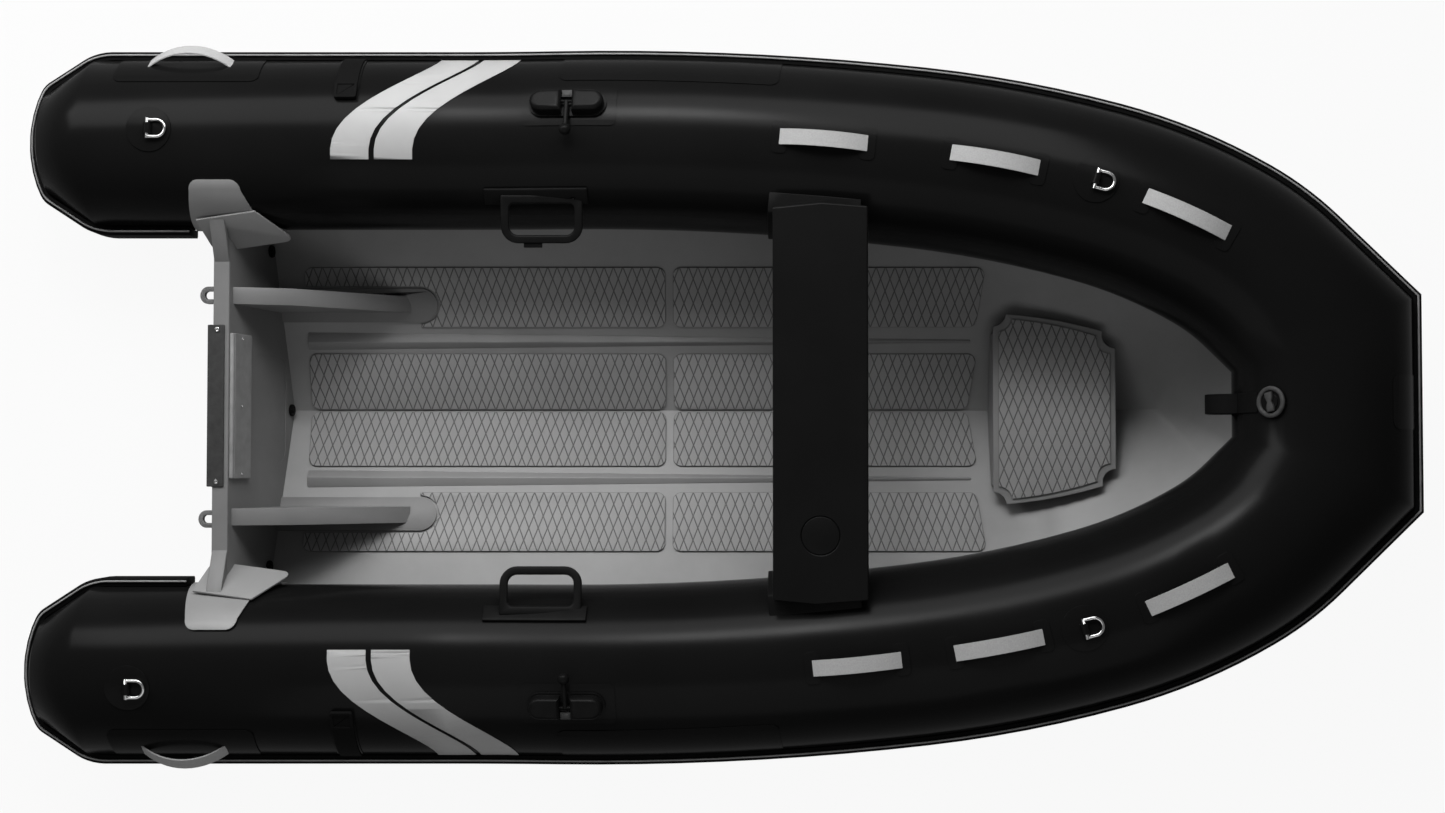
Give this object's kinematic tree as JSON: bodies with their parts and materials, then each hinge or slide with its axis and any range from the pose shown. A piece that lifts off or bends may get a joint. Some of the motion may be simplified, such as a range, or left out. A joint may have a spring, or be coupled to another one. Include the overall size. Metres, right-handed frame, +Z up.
{
  "type": "inflatable rib boat",
  "caption": "Rigid inflatable boat: painted aluminium V hull with deck pads, black air tube collar with rub rail, bench seat, grab straps, folding rowlocks and flip-up tow rings.",
  "frame": {"origin": "on the centreline at the waterline, midway between the tips of the tubes and the bow", "axes": "+X to the bow, +Y to port, +Z up"},
  "size_m": [3.4198, 1.764, 0.7415],
  "materials": {
    "hull_paint": "satin",
    "black_plastic": "matte",
    "grey_plastic": "matte",
    "tube_fabric": "satin",
    "rail_rubber": "matte",
    "bead_rubber": "matte",
    "deck_foam": "matte",
    "stainless": "polished",
    "webbing_grey": "matte",
    "stripe_fabric": "satin"
  },
  "bodies": {
    "boat": {"hull": "hull_paint", "keel_guard": "hull_paint", "transom": "hull_paint", "stringers": "hull_paint", "engine_pad_outer": "black_plastic", "engine_pad_inner": "grey_plastic", "stern_eye_port": "hull_paint", "stern_eye_stbd": "hull_paint", "knee_port": "hull_paint", "knee_stbd": "hull_paint", "wing_port": "hull_paint", "wing_stbd": "hull_paint", "tube_port": "tube_fabric", "tube_bow": "tube_fabric", "tube_stbd": "tube_fabric", "rub_rail": "rail_rubber", "rail_bead": "bead_rubber", "mat_aft_centre_port": "deck_foam", "mat_aft_centre_stbd": "deck_foam", "mat_aft_outer_port": "deck_foam", "mat_aft_outer_stbd": "deck_foam", "mat_fwd_centre_port": "deck_foam", "mat_fwd_centre_stbd": "deck_foam", "mat_fwd_outer_port": "deck_foam", "mat_fwd_outer_stbd": "deck_foam", "bow_step": "hull_paint", "bow_step_mat": "deck_foam", "seat": "black_plastic", "seat_cap": "black_plastic", "seat_saddle_port": "black_plastic", "seat_saddle_stbd": "black_plastic", "rowlock_port": "black_plastic", "rowlock_stbd": "black_plastic", "ring_patches": "tube_fabric", "grab_straps": "webbing_grey", "strap_patches": "tube_fabric", "tube_patches": "tube_fabric", "stripes": "stripe_fabric", "oar_straps": "black_plastic", "stern_handles": "webbing_grey", "grab_handle_port": "black_plastic", "grab_handle_stbd": "black_plastic", "bow_valve": "black_plastic", "bow_strap": "black_plastic", "drain_fittings": "hull_paint"},
    "rowlock_pin_port": {"rowlock_pin_port": "black_plastic"},
    "rowlock_pin_stbd": {"rowlock_pin_stbd": "black_plastic"},
    "ring_stern_port": {"ring_stern_port": "stainless"},
    "ring_stern_stbd": {"ring_stern_stbd": "stainless"},
    "ring_bow_port": {"ring_bow_port": "stainless"},
    "ring_bow_stbd": {"ring_bow_stbd": "stainless"}
  },
  "joints": [
    {"name": "rowlock_fold_port", "type": "hinge", "parent": "boat", "child": "rowlock_pin_port", "pos_m": [-0.34537, 0.722, 0.46907], "axis": [-0.9962, 0.0067, -0.0872], "range_deg": [0, 90]},
    {"name": "rowlock_fold_stbd", "type": "hinge", "parent": "boat", "child": "rowlock_pin_stbd", "pos_m": [-0.34537, -0.722, 0.46907], "axis": [0.9962, 0.0067, 0.0872], "range_deg": [0, 90]},
    {"name": "ring_flip_stern_port", "type": "hinge", "parent": "boat", "child": "ring_stern_port", "pos_m": [-1.352, 0.66028, 0.45438], "axis": [0, -0.9995, 0.0332], "range_deg": [0, 180]},
    {"name": "ring_flip_stern_stbd", "type": "hinge", "parent": "boat", "child": "ring_stern_stbd", "pos_m": [-1.391, -0.67975, 0.45286], "axis": [0, -0.9925, -0.1219], "range_deg": [0, 180]},
    {"name": "ring_flip_bow_port", "type": "hinge", "parent": "boat", "child": "ring_bow_port", "pos_m": [0.90032, 0.52063, 0.57807], "axis": [-0.2715, -0.9624, 0.0113], "range_deg": [0, 180]},
    {"name": "ring_flip_bow_stbd", "type": "hinge", "parent": "boat", "child": "ring_bow_stbd", "pos_m": [0.86803, -0.52752, 0.5753], "axis": [0.2599, -0.9656, -0.0035], "range_deg": [0, 180]}
  ]
}
